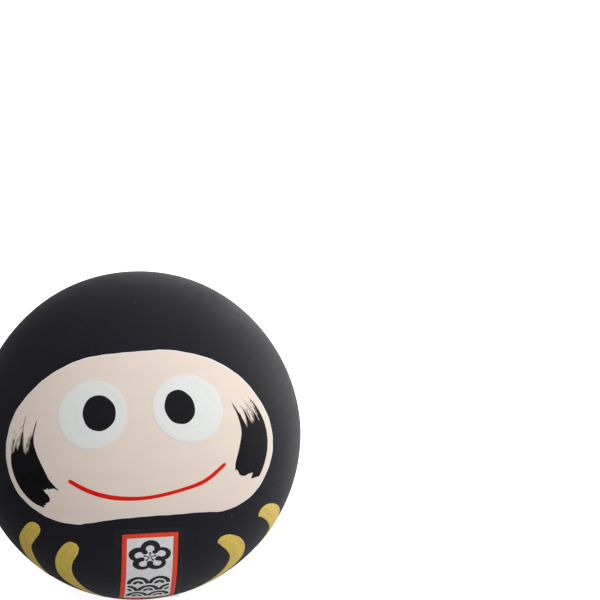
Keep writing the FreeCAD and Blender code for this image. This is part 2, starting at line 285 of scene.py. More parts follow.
class Shader:
    """A new material with a Principled surface, and short ways to add nodes to it."""

    def __init__(self, name, colour, roughness, specular):
        self.material = bpy.data.materials.new(name)
        self.material.use_nodes = True
        self.tree = self.material.node_tree
        self.surface = self.tree.nodes["Principled BSDF"]
        self.place = self.add("ShaderNodeTexCoord").outputs["Object"]
        self.set(self.surface, {
            "Base Color": (*colour, 1.0), "Roughness": roughness, "Specular IOR Level": specular,
        })

    def set(self, node, values):
        for socket, value in values.items():
            if isinstance(value, bpy.types.NodeSocket):
                self.tree.links.new(value, node.inputs[socket])
            else:
                node.inputs[socket].default_value = value

    def add(self, kind, values=None, **settings):
        node = self.tree.nodes.new(kind)
        for key, value in settings.items():
            setattr(node, key, value)
        self.set(node, values or {})
        return node

    def brush(self):
        """The place in the brush stroke, in millimetres, which the piece's points carry."""
        return self.add("ShaderNodeAttribute", attribute_name="brush").outputs["Vector"]

    def stretched(self, place, scale):
        return self.add("ShaderNodeMapping", {"Vector": place, "Scale": scale}).outputs["Vector"]

    def noise(self, place, scale, detail=3.0, roughness=0.5):
        values = {"Vector": place, "Scale": scale, "Detail": detail, "Roughness": roughness}
        return self.add("ShaderNodeTexNoise", values).outputs["Fac"]

    def ramp(self, value, low, high, to_low=0.0, to_high=1.0):
        values = {
            "Value": value, "From Min": low, "From Max": high, "To Min": to_low, "To Max": to_high,
        }
        return self.add("ShaderNodeMapRange", values, interpolation_type="SMOOTHSTEP").outputs["Result"]

    def math(self, operation, a, b):
        return self.add("ShaderNodeMath", {0: a, 1: b}, operation=operation).outputs["Value"]

    def sum_of(self, a, share_of_a, b, share_of_b):
        return self.math("ADD", self.math("MULTIPLY", a, share_of_a), self.math("MULTIPLY", b, share_of_b))

    def specks(self, scale, size, share):
        """Round specks: one in some of the cells of a Voronoi pattern."""
        cells = self.add("ShaderNodeTexVoronoi", {"Vector": self.place, "Scale": scale})
        near = self.ramp(cells.outputs["Distance"], size, size * 0.5)
        red = self.add("ShaderNodeSeparateColor", {"Color": cells.outputs["Color"]}).outputs["Red"]
        return self.math("MULTIPLY", near, self.math("LESS_THAN", red, share))

    def blend(self, amount, a, b):
        """Goes from colour a to colour b."""
        mix = self.add("ShaderNodeMix", data_type="RGBA")
        for socket, value in ((0, amount), (6, a), (7, b)):
            if isinstance(value, bpy.types.NodeSocket):
                self.tree.links.new(value, mix.inputs[socket])
            else:
                mix.inputs[socket].default_value = (*value, 1.0)
        return mix.outputs[2]

    def colour(self, colour):
        self.set(self.surface, {"Base Color": colour})

    def roughness(self, value):
        self.set(self.surface, {"Roughness": value})

    def bump(self, height, distance):
        """distance is the height of a full step, in metres. A second call adds to the first."""
        values = {"Height": height, "Distance": distance, "Strength": 1.0}
        before = self.surface.inputs["Normal"].links
        if before:
            values["Normal"] = before[0].from_socket
        self.set(self.surface, {"Normal": self.add("ShaderNodeBump", values).outputs["Normal"]})


def black_coat():
    """Matte black body paint: a fine dry grain, faint turning marks, a few light specks of dust, and pinholes
    painted as near-black specks of shade.
    """
    m = Shader("black_coat", (0.0091, 0.0083, 0.0128), 0.47, 0.08)
    m.set(m.surface, {"Sheen Weight": 0.03, "Sheen Roughness": 0.5, "Sheen Tint": (0.93, 0.92, 1.0, 1.0)})
    grain = m.noise(m.place, 2600.0, 2.0)
    cloud = m.noise(m.place, 60.0, 4.0)
    turned = m.noise(m.stretched(m.place, (40.0, 40.0, 900.0)), 1.0, 2.0)
    tone = m.ramp(m.sum_of(grain, 0.6, cloud, 0.4), 0.3, 0.7)
    body = m.blend(tone, (0.0062, 0.0056, 0.0092), (0.0116, 0.0106, 0.0160))
    dusty = m.blend(m.specks(150.0, 0.030, 0.35), body, (0.16, 0.16, 0.14))
    # pinholes: near-black specks, painted shade standing in for the insides of the holes
    m.colour(m.blend(m.specks(210.0, 0.045, 0.22), dusty, (0.002, 0.002, 0.003)))
    m.roughness(m.ramp(m.math("ADD", cloud, m.math("MULTIPLY", turned, 0.5)), 0.45, 1.05, 0.42, 0.54))
    m.bump(grain, 0.022 * MM)
    m.bump(turned, 0.012 * MM)
    m.bump(cloud, 0.060 * MM)
    return m.material


def face_paint():
    """Pale matte skin colour, brushed level: faint streaks, soft mottling, tiny pits painted as dark specks
    of shade, and a cool edge.
    """
    m = Shader("face_paint", (0.71, 0.61, 0.54), 0.72, 0.2)
    streaks = m.noise(m.stretched(m.place, (30.0, 30.0, 420.0)), 1.0, 4.0, 0.6)
    mottle = m.noise(m.place, 120.0, 4.0)
    grain = m.noise(m.place, 3000.0, 2.0)
    tone = m.ramp(m.sum_of(streaks, 0.6, mottle, 0.4), 0.32, 0.68)
    body = m.blend(tone, (0.700, 0.601, 0.526), (0.724, 0.626, 0.552))
    # tiny pits: dark brown specks, painted shade standing in for the insides of the pits
    pinhole_shaded = m.blend(m.specks(130.0, 0.030, 0.25), body, (0.36, 0.26, 0.20))
    inside = m.add("ShaderNodeSeparateXYZ", {"Vector": m.brush()}).outputs["Z"]
    m.colour(m.blend(m.ramp(inside, 0.42, 0.10, 0.0, 0.7), pinhole_shaded, (0.76, 0.80, 0.83)))
    m.roughness(m.ramp(mottle, 0.3, 0.7, 0.68, 0.78))
    m.bump(grain, 0.008 * MM)
    m.bump(streaks, 0.010 * MM)
    return m.material


def eye_paint():
    """Cool white, laid on in round strokes and thinned out into the face at its edge."""
    m = Shader("eye_white_paint", (0.70, 0.71, 0.70), 0.6, 0.2)
    marks = m.brush()
    rounds = m.noise(m.stretched(marks, (1.0, 1.0, 0.0)), 1.0, 3.0, 0.6)
    white = m.blend(m.ramp(rounds, 0.3, 0.7), (0.675, 0.686, 0.674), (0.700, 0.712, 0.700))
    inside = m.add("ShaderNodeSeparateXYZ", {"Vector": marks}).outputs["Z"]
    m.colour(m.blend(m.ramp(inside, 0.0, 0.75), (0.700, 0.640, 0.585), white))
    m.roughness(m.ramp(m.noise(m.place, 260.0), 0.3, 0.7, 0.55, 0.66))
    m.bump(rounds, 0.012 * MM)
    m.bump(m.noise(m.place, 2600.0, 2.0), 0.006 * MM)
    return m.material


def brush_black(name, low, high):
    """Black ink paint, with the brush's streaks in it."""
    m = Shader(name, low, 0.45, 0.10)
    streaks = m.noise(m.stretched(m.brush(), (0.25, 5.0, 5.0)), 1.0, 3.0, 0.6)
    grain = m.noise(m.place, 1800.0, 3.0)
    tone = m.ramp(m.sum_of(streaks, 0.5, grain, 0.5), 0.35, 0.7)
    m.colour(m.blend(tone, low, high))
    m.roughness(m.ramp(streaks, 0.3, 0.7, 0.38, 0.55))
    m.bump(streaks, 0.015 * MM)
    return m.material


def red_paint():
    """Glossier red, with the streaks of a fine brush."""
    m = Shader("red_paint", (0.66, 0.010, 0.005), 0.45, 0.06)
    streaks = m.noise(m.stretched(m.brush(), (0.3, 3.0, 3.0)), 1.0, 3.0, 0.6)
    m.colour(m.blend(m.ramp(streaks, 0.3, 0.7), (0.56, 0.007, 0.003), (0.74, 0.014, 0.006)))
    m.roughness(m.ramp(streaks, 0.3, 0.7, 0.36, 0.5))
    m.bump(streaks, 0.012 * MM)
    return m.material


def gold_paint():
    """Mustard gold with fine mica, thin enough in streaks for the black coat to darken it."""
    m = Shader("gold_paint", (0.70, 0.51, 0.085), 0.5, 0.4)
    streaks = m.noise(m.stretched(m.brush(), (0.055, 1.7, 1.0)), 1.0, 4.0, 0.6)
    load = m.noise(m.stretched(m.brush(), (0.16, 0.30, 1.0)), 1.0, 2.0)
    flakes = m.noise(m.place, 2400.0, 2.0)
    thin = m.ramp(m.sum_of(streaks, 0.7, load, 0.4), 0.50, 0.72)
    body = m.blend(m.ramp(flakes, 0.40, 0.72), (0.620, 0.445, 0.062), (0.790, 0.580, 0.110))
    m.colour(m.blend(thin, body, (0.480, 0.375, 0.100)))
    m.set(m.surface, {"Metallic": 0.12})
    m.roughness(m.ramp(flakes, 0.3, 0.7, 0.42, 0.58))
    m.bump(streaks, 0.025 * MM)
    m.bump(flakes, 0.008 * MM)
    return m.material


def clear_film():
    """The sticker's clear film, seen only as a faint veil and by its gloss."""
    m = Shader("clear_film", (0.10, 0.095, 0.10), 0.32, 0.5)
    m.set(m.surface, {"Alpha": 0.13})
    ripple = m.noise(m.place, 260.0, 2.0)
    m.roughness(m.ramp(ripple, 0.3, 0.7, 0.26, 0.40))
    m.bump(ripple, 0.020 * MM)
    return m.material


def print_ink(name, low, high, roughness, scale):
    """A printed colour, slightly mottled on its paper."""
    m = Shader(name, low, roughness, 0.12)
    mottle = m.noise(m.place, scale, 4.0, 0.6)
    m.colour(m.blend(m.ramp(mottle, 0.32, 0.68), low, high))
    m.roughness(m.ramp(mottle, 0.3, 0.7, roughness - 0.05, roughness + 0.07))
    m.bump(m.noise(m.place, 1500.0, 2.0), 0.006 * MM)
    return m.material


def fibrous(name, low, high, scale, relief):
    """Paper: long soft fibres that cross each other, over a cloudy body."""
    m = Shader(name, low, 0.85, 0.2)
    one = m.noise(m.stretched(m.place, (scale, scale * 0.12, scale * 0.4)), 1.0, 4.0, 0.6)
    two = m.noise(m.stretched(m.place, (scale * 0.12, scale, scale * 0.4)), 1.0, 4.0, 0.6)
    fibres = m.math("MAXIMUM", one, two)
    cloud = m.noise(m.place, 90.0, 4.0)
    m.colour(m.blend(m.ramp(m.math("MULTIPLY", fibres, cloud), 0.18, 0.40), low, high))
    m.roughness(m.ramp(cloud, 0.3, 0.7, 0.80, 0.92))
    m.bump(fibres, relief)
    return m.material


def fired_clay():
    """Reddish brown clay, cloudy and rough, with pale grit in it."""
    m = Shader("fired_clay", (0.36, 0.20, 0.12), 0.8, 0.25)
    body = m.noise(m.place, 140.0, 5.0, 0.6)
    grit = m.specks(700.0, 0.25, 0.3)
    tone = m.blend(m.ramp(body, 0.3, 0.7), (0.30, 0.165, 0.095), (0.43, 0.255, 0.160))
    m.colour(m.blend(grit, tone, (0.56, 0.44, 0.33)))
    m.roughness(m.ramp(body, 0.3, 0.7, 0.74, 0.9))
    m.bump(body, 0.15 * MM)
    return m.material


BLACK_COAT = black_coat()
FACE_PAINT = face_paint()
EYE_PAINT = eye_paint()
PUPIL_BLACK = brush_black("pupil_black", (0.0050, 0.0047, 0.0070), (0.0090, 0.0085, 0.0118))
HAIR_BLACK = brush_black("hair_black", (0.0015, 0.0013, 0.0026), (0.0075, 0.0068, 0.0095))
RED_PAINT = red_paint()
GOLD_PAINT = gold_paint()
CLEAR_FILM = clear_film()
PRINT_RED = print_ink("print_red", (0.66, 0.040, 0.018), (0.80, 0.062, 0.028), 0.42, 900.0)
PRINT_PANEL = print_ink("print_panel", (0.62, 0.62, 0.63), (0.70, 0.70, 0.71), 0.50, 700.0)
PRINT_INK = print_ink("print_ink", (0.010, 0.010, 0.014), (0.020, 0.020, 0.027), 0.45, 900.0)
PULP = fibrous("paper_pulp", (0.30, 0.26, 0.20), (0.47, 0.42, 0.34), 700.0, 0.08 * MM)
WASHI = fibrous("washi_paper", (0.60, 0.54, 0.43), (0.78, 0.73, 0.62), 1100.0, 0.04 * MM)
CLAY = fired_clay()

for node, material in (
    ("front_shell", PULP), ("back_shell", PULP), ("seam_strip", WASHI), ("clay_weight", CLAY),
):
    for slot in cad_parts[node].material_slots:
        slot.material = material


# ---------------------------------------------------------------- the black coat and the foot

COAT_COLUMNS = 288
COAT_ROWS = 140
FOOT_LATITUDE = math.asin((CUT_HEIGHT - BALL_CENTRE[2]) / BALL_RADIUS)


def shell_directions(lowest):
    """Unit directions over the ball from its top down to a latitude, in rows and columns."""
    latitude = np.linspace(math.pi / 2, lowest, COAT_ROWS)[:, None]
    azimuth = np.linspace(0, 2 * math.pi, COAT_COLUMNS, endpoint=False)[None]
    return np.stack(
        [
            np.cos(latitude) * np.cos(azimuth),
            np.cos(latitude) * np.sin(azimuth),
            np.sin(latitude) + 0 * azimuth,
        ],
        axis=-1,
    )


outer_direction = shell_directions(FOOT_LATITUDE)
inner_direction = shell_directions(math.asin((CUT_HEIGHT - BALL_CENTRE[2]) / PULP_RADIUS))
coat_outer = BALL_CENTRE + outer_direction * skin_radius(outer_direction)[..., None]
coat_outer[-1, :, 2] = CUT_HEIGHT
coat_inner = BALL_CENTRE + inner_direction * PULP_RADIUS
new_piece("coat", sheet_solid("coat", coat_outer, coat_inner, wrap=True), "black_paint", BLACK_COAT,
          "body_coat")

# the paper disc over the foot, torn round by hand and pasted flat

DISC_POINTS = 180
DISC_SHORT = 0.7 * MM       # the torn edge runs about this far inside the disc's full radius
TORN_EDGE = ((0.35, 5, 1), (0.20, 11, 0), (0.12, 29, 2))
FLAT_SHARES = (1.0, 0.4)    # the flat sides' inner rings, as shares of the radius in from the edge
LOWER_EDGE = (
    # in from the edge and up from the ground, in millimetres
    (0.7, 0.0), (0.25, 0.05), (0.0, 0.3),
)
UPPER_EDGE = (
    # in from the edge in millimetres, and up as a share of the paper's thickness
    (0.7, 1.0), (0.3, 1.0), (0.0, 0.6),
)

turn = np.linspace(0, 2 * math.pi, DISC_POINTS, endpoint=False)
disc_radius = FOOT_RADIUS - DISC_SHORT + MM * wander(turn, TORN_EDGE)
round_disc = np.stack([np.cos(turn), np.sin(turn)], axis=-1)


def foot_ring(inset, height):
    xy = round_disc * (disc_radius - inset)[:, None]
    return np.concatenate([xy, np.full((DISC_POINTS, 1), height)], axis=1)


foot_thick = foot_high.z - foot_low.z
foot_bottom = np.array(
    [foot_ring(share * disc_radius, 0.0) for share in FLAT_SHARES]
    + [foot_ring(inset * MM, height * MM) for inset, height in LOWER_EDGE]
)
foot_top = np.array(
    [foot_ring(share * disc_radius, foot_thick) for share in FLAT_SHARES]
    + [foot_ring(inset * MM, height * foot_thick) for inset, height in UPPER_EDGE]
)
new_piece("foot_paper", sheet_solid("foot_paper", foot_top, foot_bottom, wrap=True), "washi_paper",
          WASHI, "foot_disc")


# ---------------------------------------------------------------- the face

FACE = Place(0, 21.5)
FACE_THICK = 0.10 * MM
FACE_TOP = 20.95
FACE_BOTTOM = -20.25
FACE_BOTTOM_DROP = 0.75     # the bottom edge hangs lower near its two ends than in the middle
FACE_BOTTOM_REACH = 18.0    # half the length of that edge
FACE_WANDER = ((0.07, 9, 1), (0.04, 17, 4), (0.03, 41, 0))
FACE_QUARTERS = (
    # side (1 is right), half width, widest height, flat half of the edge, top or bottom
    (1, 34.0, -3.8, 4.6, FACE_TOP),
    (-1, 34.65, -2.6, 6.0, FACE_TOP),
    (-1, 34.65, -2.6, 16.2, FACE_BOTTOM - FACE_BOTTOM_DROP),
    (1, 33.95, -3.8, 17.6, FACE_BOTTOM - FACE_BOTTOM_DROP),
)


def face_outline(count):
    """Four quarter ellipses, joined by the top and the bottom edge, which bows up a little."""
    quarters = []
    turn = np.linspace(0, math.pi / 2, 40)
    for number, (side, half_width, widest, flat, end) in enumerate(FACE_QUARTERS):
        x = side * (flat + (half_width - flat) * np.cos(turn))
        y = widest + (end - widest) * np.sin(turn)
        quarter = np.stack([x, y], axis=-1)
        quarters.append(quarter if number % 2 == 0 else quarter[::-1])
    bottom_x = np.linspace(-FACE_BOTTOM_REACH, FACE_BOTTOM_REACH, 25)[1:-1]
    bottom_y = FACE_BOTTOM - FACE_BOTTOM_DROP * (bottom_x / FACE_BOTTOM_REACH) ** 2
    quarters.insert(3, np.stack([bottom_x, bottom_y], axis=-1))
    line = smooth_line(np.concatenate(quarters), count, closed=True)
    stray = wander(np.linspace(0, 2 * math.pi, count, endpoint=False), FACE_WANDER)
    return line * (1 + stray[:, None] / np.linalg.norm(line, axis=-1, keepdims=True))


def paint_disc(name, place, outline, rings, thick, edge, lift=0.0, rim=None, brush=None, centre=(0, 0)):
    """A closed patch of paint. rim is a raised bead near its edge: distance in, width and height."""
    xy, share = disc_grid(outline, rings, centre)
    inside = np.linalg.norm(outline - np.array(centre), axis=-1)[None] * (1 - share[:, None])
    height = thick * edge_round(inside, edge)
    if rim:
        at, width, rise = rim
        height = height + rise * np.exp(-(((inside - at) / width) ** 2)) * edge_round(inside, edge)
    marks = np.concatenate([xy if brush is None else brush(xy), inside[..., None]], axis=-1)
    return film(name, place, xy, height, lift, marks, wrap=True)


face_mesh = paint_disc("face", FACE, face_outline(300), rings=36, thick=FACE_THICK, edge=0.35)
new_piece("face", face_mesh, "face_paint", FACE_PAINT, "face_paint")


# ---------------------------------------------------------------- the eyes

EYE_THICK = 0.07 * MM
EYE_RIM = (0.9, 0.45, 0.03 * MM)  # the bead's distance in from the edge, its width and its height
PUPIL_THICK = 0.06 * MM
EYES = (
    # side, azimuth, latitude, half width, half height, tilt and offset, then the pupil's own
    ("left", -17.4, 28.0, 9.1, 8.7, 5, (-0.4, 0.3), (4.2, 4.5, 15, (-0.3, 0.1))),
    ("right", 17.3, 27.7, 9.4, 8.75, -22, (0.25, 0.25), (3.85, 4.4, 10, (-0.2, 0.05))),
)
PUPIL_AZIMUTH = 14.7
PUPIL_LATITUDE = 28.8
PUPIL_UNEVEN = 0.012
ROUND_POINTS = 120


def hand_round(half_width, half_height, tilt, offset, unevenness=0.005):
    """A round as a hand draws it: a tilted ellipse whose edge wanders a little."""
    turn = np.linspace(0, 2 * math.pi, ROUND_POINTS, endpoint=False)
    uneven = 1 + unevenness * (np.sin(3 * turn + tilt) + 0.6 * np.sin(7 * turn))
    x = half_width * uneven * np.cos(turn)
    y = half_height * uneven * np.sin(turn)
    c, s = math.cos(math.radians(tilt)), math.sin(math.radians(tilt))
    return np.stack([x * c - y * s, x * s + y * c], axis=-1) + np.array(offset)


def round_strokes(xy):
    """Carries the distance from the middle and a little of the place, so streaks run round."""
    radius = np.linalg.norm(xy, axis=-1)
    return np.stack([1.6 * radius, 0.25 * xy.sum(axis=-1)], axis=-1)


for side, azimuth, latitude, half_width, half_height, tilt, offset, pupil in EYES:
    mesh = paint_disc(
        f"eye_white_{side}", Place(azimuth, latitude), hand_round(half_width, half_height, tilt, offset),
        rings=26, thick=EYE_THICK, edge=0.5, lift=FACE_THICK, rim=EYE_RIM, brush=round_strokes, centre=offset,
    )
    new_piece(f"eye_white_{side}", mesh, "white_paint", EYE_PAINT, f"eye_white_{side}")
    place = Place(math.copysign(PUPIL_AZIMUTH, azimuth), PUPIL_LATITUDE)
    mesh = paint_disc(
        f"pupil_{side}", place, hand_round(*pupil, PUPIL_UNEVEN),
        rings=14, thick=PUPIL_THICK, edge=0.25, lift=FACE_THICK + EYE_THICK,
    )
    new_piece(f"pupil_{side}", mesh, "brush_black", PUPIL_BLACK, f"pupil_{side}")


# ---------------------------------------------------------------- brush strokes


def ribbon(path, width, columns):
    """Grid points across a stroke with a width at each point of its path, and the shares across."""
    along = np.gradient(path, axis=0)
    along /= np.linalg.norm(along, axis=-1, keepdims=True)
    sideways = np.stack([-along[:, 1], along[:, 0]], axis=-1)
    across = np.linspace(-0.5, 0.5, columns)
    return path[:, None] + sideways[:, None] * (across[None] * width[:, None])[..., None], across


def run_along(path):
    return np.r_[0, np.cumsum(np.linalg.norm(np.diff(path, axis=0), axis=-1))]


def round_ends(path, radius_start, radius_end):
    """1 along a stroke, and down to 0 in a round cap at each end."""
    run = run_along(path)
    return edge_round(run, radius_start) * edge_round(run[-1] - run, radius_end)


def brush_marks(run, sideways, number):
    """A stroke's own coordinates: along, across, and a number that tells strokes apart."""
    return np.stack([run[:, None] + 0 * sideways, sideways, np.full(sideways.shape, float(number))], axis=-1)


def stroke_mesh(name, place, path, width, thick, lift, columns):
    """One brush stroke as a low rounded ridge of paint."""
    xy, across = ribbon(path, width, columns)
    ridge = np.sqrt(1 - (2 * across) ** 2)
    height = thick * ridge[None] * np.sqrt(width / width.max())[:, None]
    brush = brush_marks(run_along(path), across[None] * width[:, None], 0)
    return film(name, place, xy, height, lift, brush)


# the smile

SMILE = Place(0, 4)
SMILE_THICK = 0.07 * MM
SMILE_PATH = (
    # across, up, width
    (-19.0, 2.7, 1.05), (-14.0, 0.1, 1.2), (-8.0, -1.6, 1.2), (0.0, -2.1, 1.0), (9.0, -1.1, 0.95),
    (15.0, 0.2, 1.1), (20.5, 3.4, 0.95),
)
line = smooth_line(SMILE_PATH, 120)
smile_width = line[:, 2] * round_ends(line[:, :2], radius_start=0.5, radius_end=0.45)
mesh = stroke_mesh("smile", SMILE, line[:, :2], smile_width, SMILE_THICK, FACE_THICK, columns=9)
new_piece("smile", mesh, "red_paint", RED_PAINT, "smile_line")

# the sideburns: one dry wide brush, drawn as its bristles side by side

SIDEBURN_THICK = 0.05 * MM
STRAY_THICK = 0.6 * SIDEBURN_THICK
BRISTLES = 30
BRISTLE_POINTS = 44
BRISTLE_OVERLAP = 1.55      # each bristle's line is this many times its share of the brush's width
BRISTLE_LOAD = (0.75, 1.0)  # how much of the full thickness of paint a bristle carries
BRISTLE_TAPER = (1.2, 3.2)  # a bristle's line comes to its full width in this length, in millimetres
BRISTLE_END = 0.22
TAPER_LEAST = 0.04          # a line starts with this share of its full width
TAPER_POWER = 0.8
START_SCATTER = 0.012       # how far bristles start and stop from their line, as shares of the path
END_SCATTER = 0.006
HAIRS = 34                  # loose hairs that start before the bristles beside them
HAIR_SPREAD = (0.02, 0.98)
HAIR_LEAD = (0.02, 0.12)
HAIR_REACH = (-0.01, 0.04)
HAIR_WIDTH = (0.010, 0.024)
HAIR_TAPER = 0.9
HAIR_END = 0.5
FLECKS = 40                 # short marks of the brush's dry part
FLECK_LEAD = (0.01, 0.17)
FLECK_REACH = (0.006, 0.030)
FLECK_WIDTH = (0.010, 0.022)
FLECK_TAPER = 0.25
FLECK_END = 0.2
SIDEBURNS = (
    # side, azimuth, latitude, the brush's path (across, up, half width), then where across the brush
    # its bristles start and stop, as shares of the path, and the part of the brush that runs dry
    (
        "left", -46, 10,
        ((1.2, 12.0, 3.8), (1.2, 7.0, 3.7), (1.8, 3.0, 4.4), (3.8, -1.5, 5.1), (7.4, -5.5, 4.7),
         (13.0, -8.0, 2.8)),
        ((0.0, 0.36), (0.1, 0.32), (0.3, 0.31), (0.42, 0.26), (0.47, 0.08), (0.55, 0.32), (0.65, 0.37),
         (0.8, 0.28), (0.95, 0.18), (1.0, 0.0)),
        ((0.0, 0.88), (0.4, 0.93), (0.5, 0.90), (0.6, 0.82), (0.75, 0.87), (1.0, 0.96)),
        (0.0, 0.42),
    ),
    (
        "right", 43, 10,
        ((-3.3, 13.5, 2.5), (-1.6, 9.0, 3.6), (-1.1, 4.0, 4.5), (-2.4, -0.5, 5.1), (-5.2, -5.0, 4.9),
         (-7.5, -7.5, 3.6)),
        ((0.0, 0.0), (0.12, 0.18), (0.24, 0.32), (0.30, 0.28), (0.37, 0.10), (0.42, 0.24), (0.58, 0.34),
         (0.75, 0.20), (0.82, 0.34), (0.92, 0.28), (1.0, 0.10)),
        ((0.0, 0.96), (0.12, 0.95), (0.25, 0.99), (0.45, 0.96), (0.7, 0.88), (0.78, 0.94), (1.0, 0.88)),
        (0.5, 0.95),
    ),
)


def stroke_edges(stations, count):
    """The two edges of a stroke, from its middle line and its half width at a few stations."""
    line = smooth_line(stations, count)
    along = np.gradient(line[:, :2], axis=0)
    along /= np.linalg.norm(along, axis=-1, keepdims=True)
    sideways = np.stack([along[:, 1], -along[:, 0]], axis=-1) * line[:, 2:]
    return line[:, :2] + sideways, line[:, :2] - sideways


def bristle_path(left, right, share, start, end):
    """The line that a bristle leaves, at its share of the way from the left edge to the right."""
    middle = left + (right - left) * share
    wanted = np.linspace(start, end, BRISTLE_POINTS) * (len(middle) - 1)
    index = np.arange(len(middle))
    return np.stack([np.interp(wanted, index, middle[:, k]) for k in (0, 1)], axis=-1), wanted


def sideburn_mesh(name, place, stations, starts, ends, dry, seed):
    """All the bristles, loose hairs and flecks of one sideburn."""
    draw = np.random.default_rng(seed)
    left, right = stroke_edges(stations, 160)
    span = np.linalg.norm(right - left, axis=-1)
    starts = np.array(starts)
    ends = np.array(ends)
    meshes = []

    def bristle(share, start, end, width_share, taper_start, taper_end, thick):
        path, wanted = bristle_path(left, right, share, start, end)
        width = np.interp(wanted, np.arange(len(span)), span) * width_share
        run = run_along(path)
        width = width * np.clip(run / taper_start, TAPER_LEAST, 1) ** TAPER_POWER
        width = width * edge_round(run[-1] - run, taper_end)
        meshes.append(stroke_mesh(name, place, path, width, thick, FACE_THICK, columns=5))

    margin = 0.5 / BRISTLES * BRISTLE_OVERLAP
    for share in np.linspace(0, 1, BRISTLES):
        start = np.interp(share, *starts.T) + draw.normal(0, START_SCATTER)
        end = np.interp(share, *ends.T) + draw.normal(0, END_SCATTER)
        taper = draw.uniform(*BRISTLE_TAPER)
        at = margin + share * (1 - 2 * margin)
        thick = SIDEBURN_THICK * draw.uniform(*BRISTLE_LOAD)
        bristle(at, max(start, 0.0), end, BRISTLE_OVERLAP / BRISTLES, taper, BRISTLE_END, thick)
    for _ in range(HAIRS):
        share = draw.uniform(*HAIR_SPREAD)
        start = np.interp(share, *starts.T)
        first = max(start - draw.uniform(*HAIR_LEAD), 0.0)
        last = start + draw.uniform(*HAIR_REACH)
        bristle(share, first, last, draw.uniform(*HAIR_WIDTH), HAIR_TAPER, HAIR_END, STRAY_THICK)
    for _ in range(FLECKS):
        share = draw.uniform(*dry)
        first = max(np.interp(share, *starts.T) - draw.uniform(*FLECK_LEAD), 0.0)
        last = first + draw.uniform(*FLECK_REACH)
        bristle(share, first, last, draw.uniform(*FLECK_WIDTH), FLECK_TAPER, FLECK_END, STRAY_THICK)
    return join_meshes(name, meshes)


for seed, (side, azimuth, latitude, *brushed) in enumerate(SIDEBURNS, start=11):
    mesh = sideburn_mesh(f"sideburn_{side}", Place(azimuth, latitude), *brushed, seed)
    new_piece(f"sideburn_{side}", mesh, "brush_black", HAIR_BLACK, f"sideburn_{side}")


# ---------------------------------------------------------------- the gold robe strokes

GOLD_THICK = 0.09 * MM
GOLD_STROKES = (
    # name, azimuth, latitude, and the brush's path from the head to the tail's tip: across, up, half width
    (
        "left_outer", -46, -24,
        ((5.8, 9.7, 1.0), (3.5, 8.3, 2.0), (0.2, 5.1, 2.1), (-2.6, 1.6, 2.1), (-4.5, -4.0, 2.2),
         (-5.3, -10.5, 1.6), (-5.6, -16.5, 0.1)),
    ),
    (
        "left_inner", -31, -34,
        ((4.4, 13.6, 1.1), (2.4, 11.6, 2.1), (-0.7, 7.5, 2.3), (-2.8, 2.6, 2.4), (-3.7, -3.0, 2.5),
         (-2.6, -9.5, 1.8), (0.8, -17.4, 0.1)),
    ),
    (
        "right_inner", 32, -34,
        ((-5.4, 10.3, 0.9), (-2.8, 9.6, 1.9), (0.8, 6.5, 2.4), (3.5, 2.0, 2.5), (4.4, -3.4, 2.6),
         (3.0, -9.0, 2.0), (-2.0, -16.4, 0.1)),
    ),
    (
        "right_outer", 48, -24,
        ((-4.4, 6.2, 1.0), (-1.5, 6.1, 2.0), (2.8, 3.4, 2.5), (6.9, -0.9, 2.6), (8.9, -5.2, 2.0),
         (8.8, -9.0, 1.2), (7.0, -13.0, 0.1)),
    ),
)
GOLD_COLUMNS = 15
GOLD_EDGE = 0.35            # the paint thins out in this distance from its edge
TIP_FULL = 0.02             # and this keeps a little of it at both ends
HEAD_LENGTH = 1.0           # a stroke's head reaches its full width in this length


def between_edges(stations, rows, columns):
    """Grid points across a stroke with a blunt round head."""
    outer, inner = stroke_edges(stations, rows)
    middle = (outer + inner) / 2
    head = edge_round(run_along(middle), HEAD_LENGTH)[:, None]
    outer = middle + (outer - middle) * head
    inner = middle + (inner - middle) * head
    across = (1 - np.cos(np.linspace(0, math.pi, columns))) / 2
    return outer[:, None] + (inner - outer)[:, None] * across[None, :, None], across


for name, azimuth, latitude, stations in GOLD_STROKES:
    xy, across = between_edges(stations, 90, GOLD_COLUMNS)
    width = np.linalg.norm(xy[:, -1] - xy[:, 0], axis=-1)
    run = run_along(xy[:, GOLD_COLUMNS // 2])
    from_side = np.minimum(across, 1 - across)[None] * width[:, None]
    from_end = np.minimum(run, run[-1] - run)[:, None] + TIP_FULL
    height = GOLD_THICK * edge_round(np.minimum(from_side, from_end), GOLD_EDGE)
    brush = brush_marks(run, (across[None] - 0.5) * width[:, None], azimuth)
    mesh = film(f"robe_stroke_{name}", Place(azimuth, latitude), xy, height, 0.0, brush)
    new_piece(f"robe_stroke_{name}", mesh, "gold_paint", GOLD_PAINT, f"robe_stroke_{name}")


# ---------------------------------------------------------------- the sticker

STICKER = Place(-0.85, -33.8, -3.5)
FILM_THICK = 0.06 * MM
FILM_EDGE = 0.1
FILM_LEFT, FILM_RIGHT = -9.15, 8.6
FILM_LOW, FILM_HIGH = -18.2, 17.7
CORNER_LIFT = 0.50 * MM     # the film has come loose at its lower right corner
CORNER_REACH = 2.6
FOOT_LIFT = 0.10 * MM       # and a little along its foot
FOOT_REACH = 1.3
PRINT_THICK = 0.025 * MM
PRINT_EDGE = 0.08
PRINT_GAP = 0.01 * MM       # the frame and the ink lie this far above the film
PANEL_THICK = 0.012 * MM
PANEL_UNDER = 0.05          # the panel goes this far under its frame
FRAME_HALF_WIDTH = 7.15
FRAME_HALF_HEIGHT = 16.3
FRAME_BORDER = 1.25
FRAME_SHARES = (0.0, 0.06, 0.35, 0.65, 0.94, 1.0)
STICKER_ARCH = 0.65         # its level lines rise this much in the middle, from wrapping a ball
STICKER_SPREAD = 0.0011     # and it is wider by this share for each millimetre towards its foot
EDGE_STEP = 1.1             # how far apart points are round the frame, and over a sheet
SHEET_STEP = 1.0
SHEET_BORDER = 0.12         # a sheet's close row of points is this far inside its edge


